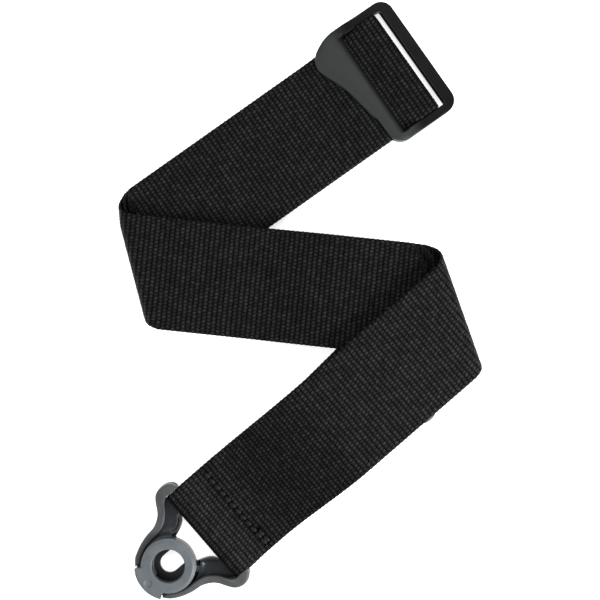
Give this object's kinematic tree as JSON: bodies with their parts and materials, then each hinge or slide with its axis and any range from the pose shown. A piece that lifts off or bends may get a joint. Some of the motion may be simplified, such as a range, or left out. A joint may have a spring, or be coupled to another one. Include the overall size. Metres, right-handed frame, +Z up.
{
  "type": "guitar strap",
  "caption": "Webbing guitar strap with turn-to-lock button ends and a length slider, folded flat in a Z.",
  "frame": {"origin": "middle of the folded strap's footprint, on the surface it lies on", "axes": "+Z up from the surface, +Y towards the slider's end of the fold, +X towards the right-hand fold"},
  "size_m": [0.1652, 0.2708, 0.0206],
  "materials": {
    "webbing": "matt woven polypropylene",
    "thread": "bonded polyester thread",
    "slider": "satin moulded acetal",
    "lock_body": "satin to gloss moulded nylon",
    "lock_rim": "satin moulded nylon with fine vertical ribs",
    "lock_ring": "satin moulded acetal",
    "lock_collar": "satin moulded acetal",
    "steel": "bright zinc plate",
    "spring": "plain spring steel"
  },
  "bodies": {
    "strap": {"webbing": "webbing", "lock_end_stitching": "thread", "slider_end_stitching": "thread"},
    "slider": {"slider": "slider"},
    "fixed_lock": {"fixed_lock_body": "lock_body", "fixed_lock_rim_left": "lock_rim", "fixed_lock_rim_right": "lock_rim", "fixed_lock_crossbar": "steel", "fixed_lock_detent_spring": "spring", "fixed_lock_screws": "steel"},
    "fixed_ring": {"fixed_lock_ring": "lock_ring", "fixed_lock_gate_collar": "lock_collar"},
    "adjuster_lock": {"adjuster_lock_body": "lock_body", "adjuster_lock_rim_left": "lock_rim", "adjuster_lock_rim_right": "lock_rim", "adjuster_lock_crossbar": "steel", "adjuster_lock_detent_spring": "spring", "adjuster_lock_screws": "steel"},
    "adjuster_ring": {"adjuster_lock_ring": "lock_ring", "adjuster_lock_gate_collar": "lock_collar"}
  },
  "joints": [
    {"name": "slider_tilt", "type": "hinge", "parent": "strap", "child": "slider", "pos_m": [0.04648, 0.10639, 0.00455], "axis": [-0.5764, 0.8171, 0], "range_deg": [0, 8]},
    {"name": "fixed_lock_swivel", "type": "hinge", "parent": "strap", "child": "fixed_lock", "pos_m": [-0.04128, -0.10526, 0.0046], "axis": [-0.6547, 0.7559, 0], "range_deg": [0, 70]},
    {"name": "fixed_ring_turn", "type": "hinge", "parent": "fixed_lock", "child": "fixed_ring", "pos_m": [-0.05798, -0.11973, 0.007], "axis": [0, 0, 1], "range_deg": [0, 120]},
    {"name": "adjuster_lock_swivel", "type": "hinge", "parent": "strap", "child": "adjuster_lock", "pos_m": [0.03951, -0.03416, 0.0046], "axis": [0.7009, -0.7133, 0], "range_deg": [0, 1.5]},
    {"name": "adjuster_ring_turn", "type": "hinge", "parent": "adjuster_lock", "child": "adjuster_ring", "pos_m": [0.05527, -0.01867, 0.007], "axis": [0, 0, 1], "range_deg": [0, 120]}
  ]
}
